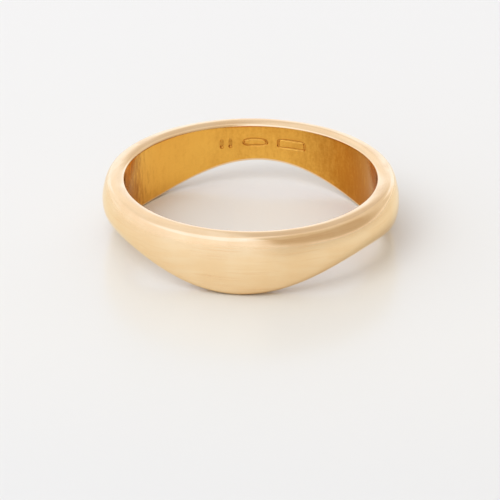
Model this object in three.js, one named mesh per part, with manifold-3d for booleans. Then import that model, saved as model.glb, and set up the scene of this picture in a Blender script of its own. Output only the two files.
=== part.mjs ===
// Stackable ring: one solid band of polished rose gold, flat on its upper edge and waved on its lower one.
// Millimetres, Z up. The finger hole runs along Z and the lowest points of the wave lie at Z = 0.
// Angles go round from the front, which faces -Y, towards +X.

import * as THREE from "three";
import { mergeVertices } from "three/addons/utils/BufferGeometryUtils.js";
import Module from "manifold-3d";

const wasm = await Module();
wasm.setup();

// Finger hole, as the ring size is given: the length round its inside
const boreCircumference = 53;

// Height of the band, from the flat edge down to the wave
const tallHeight = 4.3;
const narrowHeight = 2.75;
const waveLobes = 3;

// Section of the band: a low dome outside, with a rounded corner above and below it
const crownWall = 1.48;
const domeRise = 0.2;
const upperCornerWidth = 0.39;
const upperCornerHeight = 0.45;
const lowerCornerWidth = 0.54;
const lowerCornerHeight = 0.65;
const boreRounding = 0.2;

// Blank punch marks inside the band, at its narrow back; punchShift moves their row towards +X
const punchDepth = 0.07;
const punchLine = 0.13;
const punchGap = 0.65;
const punchShift = 0.08;
const punchReach = 0.3;
const pipLength = 0.4;
const pipHeight = 0.8;
const pipGap = 0.2;
const pipSquareness = 2.5;
const ovalLength = 1.7;
const ovalHeight = 0.6;
const ovalSquareness = 2.5;
const barLength = 2;
const barHeight = 0.7;
const barSquareness = 5;

// Fineness of the faces
const stations = 96;
const curveSteps = 6;
const outlineSteps = 24;

// Finish
const goldColour = 0xf3cda0;
const goldRoughness = 0.14;

const fullTurn = 2 * Math.PI;
const backAngle = fullTurn / 2;
const boreRadius = boreCircumference / fullTurn;
const domeEdgeRadius = boreRadius + crownWall - domeRise;

function bandHeight(angle) {
  const mean = (tallHeight + narrowHeight) / 2;
  const swing = (tallHeight - narrowHeight) / 2;
  return mean + swing * Math.cos(waveLobes * angle);
}

// Outline of the band's section, from the bore over the flat edge and down the dome to the wave.
// x is the distance from the axis, and y is measured from the flat edge, so the wave is at y = -height.
function sectionPoints(height) {
  const domeLength = height - upperCornerHeight - lowerCornerHeight;
  const domeMiddle = -upperCornerHeight - domeLength / 2;
  const domeSlope = (4 * domeRise) / domeLength;
  const outline = new THREE.Path();
  outline.moveTo(boreRadius, -boreRounding);
  outline.quadraticCurveTo(boreRadius, 0, boreRadius + boreRounding, 0);
  outline.lineTo(domeEdgeRadius - upperCornerWidth, 0);
  outline.quadraticCurveTo(
    domeEdgeRadius - domeSlope * upperCornerHeight, 0,
    domeEdgeRadius, -upperCornerHeight,
  );
  outline.quadraticCurveTo(
    domeEdgeRadius + 2 * domeRise, domeMiddle,
    domeEdgeRadius, lowerCornerHeight - height,
  );
  outline.quadraticCurveTo(
    domeEdgeRadius - domeSlope * lowerCornerHeight, -height,
    domeEdgeRadius - lowerCornerWidth, -height,
  );
  outline.lineTo(boreRadius + boreRounding, -height);
  outline.quadraticCurveTo(boreRadius, -height, boreRadius, boreRounding - height);
  return outline.getPoints(curveSteps);
}

function onRing(angle, radius, z) {
  return new THREE.Vector3(radius * Math.sin(angle), -radius * Math.cos(angle), z);
}

function indexedGeometry(positions, indices) {
  const geometry = new THREE.BufferGeometry();
  geometry.setAttribute("position", new THREE.Float32BufferAttribute(positions, 3));
  geometry.setIndex(indices);
  geometry.computeVertexNormals();
  return geometry;
}

// The section carried once round the finger, with its height following the wave
function bandGeometry() {
  const positions = [];
  const indices = [];
  const ringSize = sectionPoints(tallHeight).length;
  for (let station = 0; station < stations; station += 1) {
    const angle = (station / stations) * fullTurn;
    const next = (station + 1) % stations;
    sectionPoints(bandHeight(angle)).forEach((point, here) => {
      const after = (here + 1) % ringSize;
      positions.push(...onRing(angle, point.x, tallHeight + point.y));
      const [nearHere, nearAfter] = [station * ringSize + here, station * ringSize + after];
      const [farHere, farAfter] = [next * ringSize + here, next * ringSize + after];
      indices.push(nearHere, nearAfter, farHere, nearAfter, farAfter, farHere);
    });
  }
  return indexedGeometry(positions, indices);
}

// Outline of a punch mark, centred on the origin: an ellipse at squareness 2, and squarer above it
function punchOutline(length, height, squareness) {
  const power = 2 / squareness;
  return Array.from({ length: outlineSteps }, (_, step) => {
    const angle = (step / outlineSteps) * fullTurn;
    const [x, y] = [Math.cos(angle), Math.sin(angle)];
    return new THREE.Vector2(
      (length / 2) * Math.sign(x) * Math.abs(x) ** power,
      (height / 2) * Math.sign(y) * Math.abs(y) ** power,
    );
  });
}

// The punch marks from left to right, as seen from the front; an open one is only a line round its edge
function punchRow() {
  const pip = { length: pipLength, height: pipHeight, squareness: pipSquareness, open: false };
  const oval = { length: ovalLength, height: ovalHeight, squareness: ovalSquareness, open: true };
  const bar = { length: barLength, height: barHeight, squareness: barSquareness, open: true };
  return [
    { ...pip, gap: pipGap },
    { ...pip, gap: punchGap },
    { ...oval, gap: punchGap },
    { ...bar, gap: 0 },
  ];
}

// Bends a flat punch onto the bore: x runs along the wall, y up it and z in towards the axis.
function bendOntoBore(geometry, along, z) {
  const place = geometry.attributes.position;
  for (let index = 0; index < place.count; index += 1) {
    const angle = backAngle - (along + place.getX(index)) / boreRadius;
    const point = onRing(angle, boreRadius - place.getZ(index), z + place.getY(index));
    place.setXYZ(index, ...point);
  }
  return geometry;
}

function punchGeometry(punch, along) {
  const shape = new THREE.Shape(punchOutline(punch.length, punch.height, punch.squareness));
  if (punch.open) {
    const inset = 2 * punchLine;
    const inner = punchOutline(punch.length - inset, punch.height - inset, punch.squareness);
    shape.holes.push(new THREE.Path(inner));
  }
  const geometry = new THREE.ExtrudeGeometry(shape, { depth: punchDepth + punchReach, bevelEnabled: false });
  geometry.translate(0, 0, -punchDepth);
  return bendOntoBore(geometry, along, tallHeight - narrowHeight / 2);
}

function punchGeometries() {
  const row = punchRow();
  const rowLength = row.reduce((sum, punch) => sum + punch.length + punch.gap, 0);
  let start = punchShift - rowLength / 2;
  return row.map((punch) => {
    const geometry = punchGeometry(punch, start + punch.length / 2);
    start += punch.length + punch.gap;
    return geometry;
  });
}

function toSolid(geometry) {
  geometry.deleteAttribute("normal");
  geometry.deleteAttribute("uv");
  const merged = mergeVertices(geometry);
  const vertProperties = new Float32Array(merged.attributes.position.array);
  const triVerts = new Uint32Array(merged.index.array);
  return new wasm.Manifold(new wasm.Mesh({ numProp: 3, vertProperties, triVerts }));
}

function toGeometry(solid) {
  const mesh = solid.getMesh();
  return indexedGeometry(mesh.vertProperties, Array.from(mesh.triVerts));
}

function makeBand() {
  const stamped = punchGeometries().reduce(
    (solid, punch) => solid.subtract(toSolid(punch)),
    toSolid(bandGeometry()),
  );
  const gold = new THREE.MeshStandardMaterial({
    color: goldColour,
    roughness: goldRoughness,
    metalness: 1,
  });
  const band = new THREE.Mesh(toGeometry(stamped), gold);
  band.name = "band";
  return band;
}

const ring = new THREE.Group();
ring.name = "stackable_ring";
ring.add(makeBand());

export default ring;
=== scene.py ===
"""A polished rose-gold stacking ring, flat edge up and waved edge down, on a pale floor in a light tent."""

import math

import bpy
import numpy as np
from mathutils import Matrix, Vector


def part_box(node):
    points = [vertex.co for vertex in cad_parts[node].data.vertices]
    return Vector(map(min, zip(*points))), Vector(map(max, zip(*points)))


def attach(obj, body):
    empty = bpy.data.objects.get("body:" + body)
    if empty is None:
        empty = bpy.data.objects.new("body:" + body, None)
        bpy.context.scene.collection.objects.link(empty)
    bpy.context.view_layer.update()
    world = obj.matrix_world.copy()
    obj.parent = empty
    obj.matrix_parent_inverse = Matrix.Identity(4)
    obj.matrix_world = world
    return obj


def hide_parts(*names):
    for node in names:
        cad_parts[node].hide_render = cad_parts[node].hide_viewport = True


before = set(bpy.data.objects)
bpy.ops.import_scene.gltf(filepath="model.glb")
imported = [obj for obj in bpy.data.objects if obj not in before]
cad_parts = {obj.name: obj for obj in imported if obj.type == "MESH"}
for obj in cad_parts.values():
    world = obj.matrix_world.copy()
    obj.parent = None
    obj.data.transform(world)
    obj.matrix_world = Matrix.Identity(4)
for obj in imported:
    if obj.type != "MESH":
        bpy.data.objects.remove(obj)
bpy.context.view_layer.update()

MM = 0.001

# Too small to matter, but keeps a division or comparison safe
TINY = 1e-9

# Sizes of the band that its box doesn't tell, in millimetres
BORE_RADIUS = 53 / (2 * math.pi)
NARROW_HEIGHT = 2.75
WAVE_LOBES = 3
DOME_RISE = 0.2
UPPER_CORNER = (0.39, 0.45)
LOWER_CORNER = (0.54, 0.65)
BORE_ROUNDING = 0.2

# Polishing bent the flat edge a little: how far its highest line lies from the bore's rounding, how much
# nearer at the front and farther at the back, in millimetres, and the slope for each millimetre away from it
EDGE_CREST = 0.32
EDGE_CREST_SWING = 0.2
EDGE_BEND = 0.355

# Blank punch marks in the bore, in millimetres
PUNCH_DEPTH = 0.07
PUNCH_LINE = 0.13
PUNCH_GAP = 0.65
PUNCH_SHIFT = 0.08
PIP_GAP = 0.2
PUNCH_SOFTNESS = 0.07
PUNCH_LIP = 0.003
PUNCH_LIP_WIDTH = 0.06

# Each mark's length, height, squareness of outline, whether it is only a line, and gap to the next one
PUNCHES = (
    (0.4, 0.8, 2.5, False, PIP_GAP),
    (0.4, 0.8, 2.5, False, PUNCH_GAP),
    (1.7, 0.6, 2.5, True, PUNCH_GAP),
    (2.0, 0.7, 5.0, True, 0.0),
)

# Fineness of the mesh: degrees between stations, and steps on each stretch of the section
COARSE_STEP = 0.75
FINE_STEP = 0.15
FINE_REACH = 23.25
PUNCH_ZONE = 0.9
ROWS = {"below": 5, "zone": 40, "above": 5, "rounding": 8, "land": 8, "upper": 16, "dome": 22, "lower": 16}

# Hand-polished unevenness: depth in millimetres, waves round the finger, waves for each millimetre of the
# section, and phase
UNEVENNESS = (
    (0.0022, 5, 0.21, 0.4),
    (0.0016, 9, -0.33, 1.9),
    (0.0011, 14, 0.52, 3.1),
    (0.0006, 23, -0.71, 5.0),
)

# Noises of the gold: the space that they follow, its turn and stretch, and then scale, detail and roughness.
# "groove" goes round the finger with the third axis along the section, and "place" is the ring's own space.
NOISES = {
    "lines": ("groove", 0, (6, 6, 9), 3.0, 4.0, 0.65),
    "smears": ("groove", 0, (1, 1, 1), 2.2, 3.0, 0.6),
    "rubs_and_painted_streaks": ("groove", 0.12, (11, 11, 0.35), 3.0, 4.0, 0.65),
    "scratches": ("place", 0.35, (260, 260, 9000), 1.0, 1.0, 0.4),
    "clouds": ("place", 0, (1, 1, 1), 420.0, 3.0, 0.55),
    "patina": ("place", 0, (1, 1, 1), 260.0, 4.0, 0.6),
    "specks": ("place", 0, (1, 1, 1), 5200.0, 2.0, 0.6),
}

# Middle value of a noise, the clouds' share of the smudges, and the smudges' share of the wear
NOISE_MIDDLE = 0.5
CLOUDS_IN_SMUDGES = 0.6
SMUDGES_IN_WEAR = 0.7

# Levels from where to where a scratch, a smudge, dull wear, and deep patina with painted shade set in
SCRATCH_LEVELS = (0.62, 0.7)
SMUDGE_LEVELS = (0.36, 0.62)
WEAR_LEVELS = (0.34, 0.64)
PATINA_AND_SHADE_LEVELS = (0.25, 1.65)

# Places round the finger are told by their sine: 0 at the front and back, 1 at the right and -1 at the left.
# Rubs in the bore are wear, and towards both sides their colour also stands in for mirrored streaks, a
# painted reflection.
# From where to where they grow towards both sides, and their strength before and after
RUB_AND_STREAK_GROWTH = (0.7, 0.95, 1.0, 3.0)

# Random patina and painted shade in the bore: from where to where the painted shade changes with place,
# darker towards the right and at the far left and lighter left of the middle, with what it adds before and
# after, and how much of each noise it takes
BORE_SHADE_PLACES = ((0.25, 0.95, 0.0, 1.0), (-0.985, -0.86, 0.9, 0.0), (-0.5, -0.1, -0.3, 0.0))
PATINA_SHARES = {"rubs_and_painted_streaks": 0.8, "patina": 0.9, "specks": 0.55}

# Colours of the gold, and of its reflections at a flat angle
POLISHED = (1.0, 0.77, 0.475, 1)
SMUDGED = (0.97, 0.71, 0.41, 1)
SCRATCHED = (0.9, 0.6, 0.32, 1)
# Painted reflection: the bore's deep orange stands in for light bounced round inside the ring, on the same
# gold
BORE_PAINTED_REFLECTION = (0.97, 0.54, 0.1, 1)
# Painted shade, mixed with random patina: the bore's darker colour
BORE_PATINA_AND_SHADE = (0.55, 0.21, 0.02, 1)
# Painted shade in the punch marks' hollows
MARK_PAINTED_SHADE = (0.55, 0.24, 0.04, 1)
FLAT_ANGLE_TINT = (1.0, 0.95, 0.82, 1)

# How much of their colour scratches take, and how much painted shade the punch marks take in their hollows
SCRATCH_COVER = 0.3
MARK_SHADE_COVER = 0.5

# Roughness where polished and where worn, the bore's share of it, and what scratches and marks add
ROUGHNESS = (0.045, 0.16)
BORE_ROUGHNESS_SHARE = 0.6
SCRATCH_ROUGHNESS = 0.12
MARK_ROUGHNESS = 0.12

# Fine relief: each noise's height beside that of the lines, the strength of it all, and its depth in metres
RELIEF = {"specks": 0.25, "rubs_and_painted_streaks": 12.0, "scratches": -1.5}
RELIEF_STRENGTH = 0.04
RELIEF_DEPTH = 0.00001

# Camera: its direction in degrees, its distance and the nearest that it sees in metres, its lens, and how
# far above and right of the frame's middle the flat edge's centre lies, in pixels
CAMERA_AZIMUTH = 5.0
CAMERA_ELEVATION = 24.85
CAMERA_DISTANCE = 0.4
CAMERA_NEAREST = 0.01
PIXELS_PER_RADIAN = 5998
FRAME_PIXELS = 500
EDGE_RISE_PIXELS = 74.6
EDGE_RIGHT_PIXELS = 0.7
SENSOR_MM = 36

# Light tent: its colour, and the zones of its wall: azimuth of the middle, half the width, soft edge,
# lowest and highest elevation, soft edge, angles in degrees, and the colour the zone is multiplied by
TENT_COLOUR = (1.0, 0.99, 1.07)
TENT_ZONES = (
    (-48, 46, 30, 30, 84, 16, (1.1, 1.21, 1.4)),
    (6, 14, 8, 50, 84, 16, (1.0, 1.08, 1.18)),
    (-75, 28, 30, 8, 40, 16, (1.03, 1.03, 1.04)),
    (-35, 18, 20, -20, 22, 12, (1.06, 1.06, 1.06)),
    (-140, 42, 26, 34, 72, 12, (0.92, 0.92, 0.92)),
    (-175, 34, 14, -40, 24.5, 5, (1.08, 1.2, 1.45)),
    (0, 180, 1, 82, 120, 10, (1.1, 1.22, 1.42)),
    (82, 60, 14, 3, 27, 6, (0.78, 0.73, 0.64)),
    (97, 75, 12, 27, 86, 6, (0.78, 0.73, 0.64)),
    (179, 7, 4, 27, 54, 6, (0.72, 0.66, 0.6)),
    (66, 48, 30, 1, 86, 8, (0.86, 0.82, 0.75)),
    (66, 48, 30, -2, 46, 20, (0.85, 0.8, 0.74)),
)

# Floor: half its side, its colours at the front, greyer as painted shade where light falls off, and at the
# back, from where to where they fade, in metres, how fine its grain is, how much it shows, and the floor's
# roughness
FLOOR_HALF = 1.0
FLOOR_SHADED_FRONT = (0.812, 0.818, 0.757, 1)
FLOOR_BACK = (0.86, 0.85, 0.757, 1)
FLOOR_SHADE_FADE = (-0.05, -0.008)
GRAIN_SCALE = 900.0
GRAIN_SHARE = 0.15
FLOOR_ROUGHNESS = 0.22

# Lamp, which lights the floor: side of its square, place, and power
LAMP_SIDE = 0.7
LAMP_PLACE = (-0.45, -0.45, 0.9)
LAMP_POWER = 2.8


def sizes_from_frame():
    """Crown radius and full height of the band, in millimetres."""
    low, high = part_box("band")
    return (high.x - low.x) / 2 / MM, (high.z - low.z) / MM


def station_angles():
    """Angles round the finger from the front, close together where the punch marks are."""
    fine_from, fine_to = 180 - FINE_REACH, 180 + FINE_REACH
    coarse = np.arange(0, 360, COARSE_STEP)
    coarse = coarse[(coarse < fine_from) | (coarse > fine_to)]
    fine = np.linspace(fine_from, fine_to, round(2 * FINE_REACH / FINE_STEP) + 1)
    return np.radians(np.sort(np.concatenate([coarse, fine])))


def line(start, end, steps):
    """Rows from start to end, without the first one."""
    share = (np.arange(1, steps + 1) / steps)[:, None, None]
    return start + share * (end - start)


def curve(start, control, end, steps):
    """Rows on a quadratic curve from start to end, without the first one."""
    share = (np.arange(1, steps + 1) / steps)[:, None, None]
    return (1 - share) ** 2 * start + 2 * share * (1 - share) * control + share**2 * end


def section_rows(crown, heights, angles):
    """Section of the band at each station: rows of (distance from the axis, height over the flat edge)."""
    still = np.ones_like(heights)

    def points(radius, y):
        return np.stack([radius * still, y * still], axis=-1)

    edge = crown - DOME_RISE
    dome = heights - UPPER_CORNER[1] - LOWER_CORNER[1]
    slope = 4 * DOME_RISE / dome
    zone_middle = -NARROW_HEIGHT / 2
    rounded = BORE_RADIUS + BORE_ROUNDING
    bore_low = points(BORE_RADIUS, BORE_ROUNDING - heights)
    zone_low = points(BORE_RADIUS, zone_middle - PUNCH_ZONE / 2)
    zone_high = points(BORE_RADIUS, zone_middle + PUNCH_ZONE / 2)
    bore_high = points(BORE_RADIUS, -BORE_ROUNDING)

    # The flat edge is a low arch with its top at the crest, and the roundings beside it start with its slope
    land = edge - UPPER_CORNER[0] - rounded
    crest = EDGE_CREST - EDGE_CREST_SWING * np.cos(angles)
    rise, tilt = EDGE_BEND * crest, EDGE_BEND * (land - crest)
    land_in = points(rounded, -rise * crest / 2)
    land_middle = points(rounded + land / 2, rise * (land - crest) / 2)
    land_out = points(edge - UPPER_CORNER[0], -tilt * (land - crest) / 2)
    rounding_corner = points(BORE_RADIUS, -rise * (crest / 2 + BORE_ROUNDING))
    corner = tilt * (slope * UPPER_CORNER[1] - UPPER_CORNER[0] - (land - crest) / 2) / (1 - tilt * slope)
    upper_corner = points(edge - slope * (UPPER_CORNER[1] + corner), corner)

    dome_high, dome_low = points(edge, -UPPER_CORNER[1]), points(edge, LOWER_CORNER[1] - heights)
    foot_out, foot_in = points(edge - LOWER_CORNER[0], -heights), points(rounded, -heights)
    return np.concatenate([
        bore_low[None],
        line(bore_low, zone_low, ROWS["below"]),
        line(zone_low, zone_high, ROWS["zone"]),
        line(zone_high, bore_high, ROWS["above"]),
        curve(bore_high, rounding_corner, land_in, ROWS["rounding"]),
        curve(land_in, land_middle, land_out, ROWS["land"]),
        curve(land_out, upper_corner, dome_high, ROWS["upper"]),
        curve(dome_high, points(edge + 2 * DOME_RISE, -UPPER_CORNER[1] - dome / 2), dome_low, ROWS["dome"]),
        curve(dome_low, points(edge - slope * LOWER_CORNER[1], -heights), foot_out, ROWS["lower"]),
        line(foot_out, foot_in, ROWS["land"]),
        curve(foot_in, points(BORE_RADIUS, -heights), bore_low, ROWS["rounding"])[:-1],
    ])


def outline_distance(x, y, length, height, squareness):
    """About how far a point lies outside a punch mark's outline, negative within it."""
    a, b = length / 2, height / 2
    u, v = np.abs(x) / a + TINY, np.abs(y) / b + TINY
    level = (u**squareness + v**squareness) ** (1 / squareness)
    steepness = np.hypot(u ** (squareness - 1) / a, v ** (squareness - 1) / b) * level ** (1 - squareness)
    return (level - 1) / steepness


def punch_depths(x, y):
    """Depth of the punch marks on the bore: x along the wall, y up from the marks' middle line.

    An open mark's line has soft sides, a full one deepens towards its middle, and both have a raised lip.
    """
    depth = np.zeros_like(x)
    start = PUNCH_SHIFT - sum(length + gap for length, _, _, _, gap in PUNCHES) / 2
    for length, height, squareness, only_line, gap in PUNCHES:
        away = outline_distance(x - start - length / 2, y, length, height, squareness)
        if only_line:
            away = np.abs(away + PUNCH_LINE / 2) - PUNCH_LINE / 2
        inside = np.clip(0.5 - away / PUNCH_SOFTNESS if only_line else -2 * away / length, 0, 1)
        depth += PUNCH_DEPTH * inside * inside * (3 - 2 * inside)
        depth -= PUNCH_LIP * np.exp(-((away / PUNCH_LIP_WIDTH) ** 2)) * (away > 0)
        start += length + gap
    return depth


def unevenness(angles, travel):
    """How far hand polishing took the surface down, never above the true form."""
    down = np.zeros_like(travel)
    for depth, round_waves, section_waves, phase in UNEVENNESS:
        swing = np.sin(round_waves * angles + 2 * math.pi * section_waves * travel + phase)
        down += depth * (1 + swing) / 2
    return down


def normals_of_rows(rows):
    """Outward direction in the section's plane at each row."""
    ahead = np.roll(rows, -1, axis=0) - np.roll(rows, 1, axis=0)
    outward = np.stack([-ahead[..., 1], ahead[..., 0]], axis=-1)
    return outward / np.linalg.norm(outward, axis=-1, keepdims=True)


def band_mesh():
    """The whole band as one closed fine mesh, with attributes that tell the material where it is."""
    crown, tall = sizes_from_frame()
    angles = station_angles()
    heights = (tall + NARROW_HEIGHT) / 2 + (tall - NARROW_HEIGHT) / 2 * np.cos(WAVE_LOBES * angles)
    rows = section_rows(crown, heights, angles)
    travel = np.cumsum(np.linalg.norm(np.diff(rows, axis=0, prepend=rows[:1]), axis=-1), axis=0)
    everywhere = np.broadcast_to(angles, travel.shape)
    on_bore = rows[..., 0] < BORE_RADIUS + TINY
    along = (math.pi - everywhere) * BORE_RADIUS
    depth = punch_depths(along, rows[..., 1] + NARROW_HEIGHT / 2) * on_bore
    rows = rows - normals_of_rows(rows) * (unevenness(everywhere, travel) * ~on_bore)[..., None]
    radius = rows[..., 0] + depth
    east, north = np.sin(everywhere), -np.cos(everywhere)
    place = np.stack([radius * east, radius * north, tall + rows[..., 1]], axis=-1)
    mesh = bpy.data.meshes.new("fine_band")
    mesh.from_pydata((place.reshape(-1, 3) * MM).tolist(), [], grid_faces(*travel.shape))
    mesh.polygons.foreach_set("use_smooth", np.ones(len(mesh.polygons), bool))
    groove = np.stack([east, north, travel], axis=-1)
    mesh.attributes.new("groove", "FLOAT_VECTOR", "POINT").data.foreach_set("vector", groove.ravel())
    for name, values in (("bore", on_bore.astype(float)), ("mark", depth / PUNCH_DEPTH)):
        mesh.attributes.new(name, "FLOAT", "POINT").data.foreach_set("value", values.ravel())
    return mesh


def grid_faces(row_count, station_count):
    """Faces of a grid that closes on itself both ways."""
    row, station = np.meshgrid(np.arange(row_count), np.arange(station_count), indexing="ij")
    next_row, next_station = (row + 1) % row_count, (station + 1) % station_count
    corners = [(row, station), (next_row, station), (next_row, next_station), (row, next_station)]
    return np.stack([r * station_count + s for r, s in corners], axis=-1).reshape(-1, 4).tolist()


class Nodes:
    """A short way to add linked shader nodes to a material or the world."""

    def __init__(self, owner):
        owner.use_nodes = True
        self.tree = owner.node_tree
        self.tree.nodes.clear()

    def add(self, kind, inputs=None, **settings):
        node = self.tree.nodes.new(kind)
        for name, value in settings.items():
            setattr(node, name, value)
        for key, value in (inputs or {}).items():
            if isinstance(value, bpy.types.NodeSocket):
                self.tree.links.new(value, node.inputs[key])
            else:
                node.inputs[key].default_value = value
        return node

    def math(self, operation, *values):
        node = self.add("ShaderNodeMath", dict(enumerate(values)), operation=operation)
        return node.outputs[0]

    def vector(self, operation, *values):
        node = self.add("ShaderNodeVectorMath", dict(enumerate(values)), operation=operation)
        return node.outputs[0]

    def ramp(self, value, low, high, to_low=0.0, to_high=1.0):
        """Goes smoothly from to_low to to_high while the value goes from low to high."""
        inputs = {"Value": value, "From Min": low, "From Max": high, "To Min": to_low, "To Max": to_high}
        return self.add("ShaderNodeMapRange", inputs, interpolation_type="SMOOTHSTEP").outputs["Result"]

    def edge(self, value, place, softness):
        """Rises from 0 to 1 at the place, in degrees, or falls where the softness is negative."""
        low, high = math.radians(place - softness / 2), math.radians(place + softness / 2)
        return self.ramp(value, low, high) if softness > 0 else self.ramp(value, high, low, 1.0, 0.0)

    def mix(self, share, a, b):
        node = self.add("ShaderNodeMix", {0: share, 6: a, 7: b}, data_type="RGBA")
        return node.outputs[2]

    def blend(self, value, share, rest):
        """So much of the value as the share says, and the other one for the rest."""
        return self.math("MULTIPLY_ADD", value, share, self.math("MULTIPLY", rest, 1 - share))

    def total(self, value, additions):
        """The value, with each addition times its weight."""
        for addition, weight in additions:
            value = self.math("MULTIPLY_ADD", addition, weight, value)
        return value

    def noise(self, vector, scale, detail=2.0, roughness=0.5):
        inputs = {"Vector": vector, "Scale": scale, "Detail": detail, "Roughness": roughness}
        return self.add("ShaderNodeTexNoise", inputs).outputs["Fac"]


def gold_noises(nodes, groove, bore, east):
    """The noises of the gold by name; the rubs lie in the bore alone, and are strongest at its two sides,
    where they are also painted reflection streaks.
    """
    spaces = {"groove": groove, "place": nodes.add("ShaderNodeTexCoord").outputs["Object"]}
    noises = {}
    for name, (space, turn, stretch, scale, detail, roughness) in NOISES.items():
        inputs = {"Vector": spaces[space], "Rotation": (0, turn, 0), "Scale": stretch}
        mapped = nodes.add("ShaderNodeMapping", inputs).outputs[0]
        noises[name] = nodes.noise(mapped, scale, detail, roughness)
    noises["scratches"] = nodes.ramp(noises["scratches"], *SCRATCH_LEVELS)
    # Painted reflection in part: the rubs grow stronger towards both sides of the bore
    growth = nodes.ramp(nodes.math("ABSOLUTE", east), *RUB_AND_STREAK_GROWTH)
    rubs_and_painted_streaks = nodes.math("MULTIPLY", bore, nodes.math("SUBTRACT", noises["rubs_and_painted_streaks"], NOISE_MIDDLE))
    noises["rubs_and_painted_streaks"] = nodes.math("MULTIPLY", rubs_and_painted_streaks, growth)
    noises["smudges"] = nodes.blend(noises["clouds"], CLOUDS_IN_SMUDGES, noises["smears"])
    return noises


def gold_colour(nodes, noises, bore, mark, east):
    """Polished outside with smudges and scratches; in the bore a warmer colour that is a painted reflection,
    with random patina, painted shade by place and marks darkened as painted shade.
    """
    outside = nodes.mix(nodes.ramp(noises["smudges"], *SMUDGE_LEVELS), POLISHED, SMUDGED)
    outside = nodes.mix(nodes.math("MULTIPLY", noises["scratches"], SCRATCH_COVER), outside, SCRATCHED)
    # Painted shade: the bore darker towards the right and at the far left, lighter left of the middle
    places = [(nodes.ramp(east, *place), 1.0) for place in BORE_SHADE_PLACES]
    shares = [(noises[name], share) for name, share in PATINA_SHARES.items()]
    patina_and_shade = nodes.total(0.0, places + shares)
    inside = nodes.mix(nodes.ramp(patina_and_shade, *PATINA_AND_SHADE_LEVELS), BORE_PAINTED_REFLECTION, BORE_PATINA_AND_SHADE)
    # Painted shade: the punch marks darker by their depth
    inside = nodes.mix(nodes.math("MULTIPLY", mark, MARK_SHADE_COVER), inside, MARK_PAINTED_SHADE)
    return nodes.mix(bore, outside, inside)


def gold_roughness(nodes, noises, bore, mark):
    """Duller where worn, scratched or punched, and smoother in the bore."""
    wear = nodes.blend(noises["smudges"], SMUDGES_IN_WEAR, noises["lines"])
    roughness = nodes.ramp(wear, *WEAR_LEVELS, *ROUGHNESS)
    roughness = nodes.math("MULTIPLY", roughness, nodes.ramp(bore, 0.0, 1.0, 1.0, BORE_ROUGHNESS_SHARE))
    return nodes.total(roughness, [(noises["scratches"], SCRATCH_ROUGHNESS), (mark, MARK_ROUGHNESS)])


def rose_gold():
    """Polished rose gold, with polishing lines round the finger and a worn bore whose warmer, deeper colour
    is a painted reflection.
    """
    material = bpy.data.materials.new("rose_gold")
    nodes = Nodes(material)
    groove = nodes.add("ShaderNodeAttribute", attribute_name="groove").outputs["Vector"]
    bore = nodes.add("ShaderNodeAttribute", attribute_name="bore").outputs["Fac"]
    mark = nodes.add("ShaderNodeAttribute", attribute_name="mark").outputs["Fac"]
    east = nodes.add("ShaderNodeSeparateXYZ", {0: groove}).outputs[0]
    noises = gold_noises(nodes, groove, bore, east)
    relief = nodes.total(noises["lines"], [(noises[name], height) for name, height in RELIEF.items()])
    bump = nodes.add("ShaderNodeBump", {
        "Height": relief,
        "Strength": RELIEF_STRENGTH,
        "Distance": RELIEF_DEPTH,
    })
    shader = nodes.add("ShaderNodeBsdfPrincipled", {
        "Base Color": gold_colour(nodes, noises, bore, mark, east),
        "Metallic": 1.0,
        "Roughness": gold_roughness(nodes, noises, bore, mark),
        "Specular Tint": FLAT_ANGLE_TINT,
        "Normal": bump.outputs["Normal"],
    })
    nodes.add("ShaderNodeOutputMaterial", {"Surface": shader.outputs["BSDF"]})
    return material


def floor_material():
    """Pale acrylic with a soft gloss, very slightly warm, and a little greyer towards the front as painted
    shade.
    """
    material = bpy.data.materials.new("pale_floor")
    nodes = Nodes(material)
    place = nodes.add("ShaderNodeTexCoord").outputs["Object"]
    north = nodes.add("ShaderNodeSeparateXYZ", {0: place}).outputs[1]
    grain = nodes.noise(place, GRAIN_SCALE)
    # Painted shade: the floor greyer towards the front, with random grain
    shade = nodes.math("MULTIPLY_ADD", grain, GRAIN_SHARE, nodes.ramp(north, *FLOOR_SHADE_FADE))
    colour = nodes.mix(shade, FLOOR_SHADED_FRONT, FLOOR_BACK)
    shader = nodes.add("ShaderNodeBsdfPrincipled", {"Base Color": colour, "Roughness": FLOOR_ROUGHNESS})
    nodes.add("ShaderNodeOutputMaterial", {"Surface": shader.outputs["BSDF"]})
    return material


def link(name, data):
    """A new object in the scene."""
    piece = bpy.data.objects.new(name, data)
    bpy.context.scene.collection.objects.link(piece)
    return piece


def make_band():
    piece = link("band_surface", band_mesh())
    piece.data.materials.append(rose_gold())
    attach(piece, "root")
    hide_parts("band")


def make_floor():
    corners = [(x * FLOOR_HALF, y * FLOOR_HALF, 0) for x, y in ((-1, -1), (1, -1), (1, 1), (-1, 1))]
    mesh = bpy.data.meshes.new("floor")
    mesh.from_pydata(corners, [], [(0, 1, 2, 3)])
    floor = link("floor", mesh)
    mesh.materials.append(floor_material())


def direction(azimuth, elevation):
    """From the ring towards a place on its sky; azimuth 0 is the front, and it grows towards +X."""
    a, e = math.radians(azimuth), math.radians(elevation)
    return Vector((math.sin(a) * math.cos(e), -math.cos(a) * math.cos(e), math.sin(e)))


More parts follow.
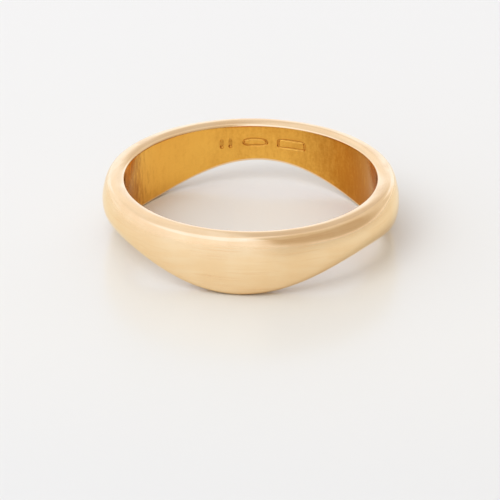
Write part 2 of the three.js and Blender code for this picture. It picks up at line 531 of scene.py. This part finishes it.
def make_camera():
    """Sees the ring as the photograph does: its flat edge's centre lies above the middle of the frame."""
    _, tall = sizes_from_frame()
    data = bpy.data.cameras.new("camera")
    data.sensor_width = SENSOR_MM
    data.lens = PIXELS_PER_RADIAN / FRAME_PIXELS * SENSOR_MM
    data.clip_start = CAMERA_NEAREST
    camera = link("camera", data)
    edge_centre = Vector((0, 0, tall * MM))
    back = direction(CAMERA_AZIMUTH, CAMERA_ELEVATION)
    camera.location = edge_centre + CAMERA_DISTANCE * back
    pixel = CAMERA_DISTANCE / PIXELS_PER_RADIAN
    below = EDGE_RISE_PIXELS * pixel / math.cos(math.radians(CAMERA_ELEVATION))
    aside = EDGE_RIGHT_PIXELS * pixel * direction(CAMERA_AZIMUTH + 90, 0)
    target = edge_centre - Vector((0, 0, below)) - aside
    camera.rotation_mode = "QUATERNION"
    camera.rotation_quaternion = (target - camera.location).to_track_quat("-Z", "Y")
    bpy.context.scene.camera = camera


def make_world():
    """A bright light tent: each zone of its wall is brighter or darker than the rest, with soft edges."""
    world = bpy.data.worlds.new("light_tent")
    bpy.context.scene.world = world
    nodes = Nodes(world)
    sky = nodes.add("ShaderNodeTexCoord").outputs["Generated"]
    east, north, up = nodes.add("ShaderNodeSeparateXYZ", {0: sky}).outputs
    azimuth = nodes.math("ARCTAN2", east, nodes.math("MULTIPLY", north, -1.0))
    elevation = nodes.math("ARCSINE", up)
    colour = TENT_COLOUR
    for middle, half, side_soft, low, high, end_soft, gain in TENT_ZONES:
        turn = nodes.math("SUBTRACT", azimuth, math.radians(middle))
        aside = nodes.math("ABSOLUTE", nodes.math("WRAP", turn, math.pi, -math.pi))
        within = nodes.edge(aside, half, -side_soft)
        above = nodes.edge(elevation, low, end_soft)
        beneath = nodes.edge(elevation, high, -end_soft)
        zone = nodes.math("MULTIPLY", within, nodes.math("MULTIPLY", above, beneath))
        change = tuple(channel - 1 for channel in gain)
        tint = nodes.vector("MULTIPLY_ADD", zone, change, (1, 1, 1))
        colour = nodes.vector("MULTIPLY", colour, tint)
    background = nodes.add("ShaderNodeBackground", {"Color": colour, "Strength": 1.0})
    nodes.add("ShaderNodeOutputWorld", {"Surface": background.outputs[0]})


def make_lamp():
    """A soft lamp from the left that the metal doesn't mirror."""
    data = bpy.data.lights.new("lamp", "AREA")
    data.size = LAMP_SIDE
    data.energy = LAMP_POWER
    lamp = link("lamp", data)
    lamp.location = LAMP_PLACE
    lamp.rotation_euler = (-Vector(LAMP_PLACE)).to_track_quat("-Z", "Y").to_euler()
    lamp.visible_glossy = False


make_camera()
make_world()
make_lamp()
make_floor()
make_band()
bpy.context.scene.view_settings.view_transform = "Standard"
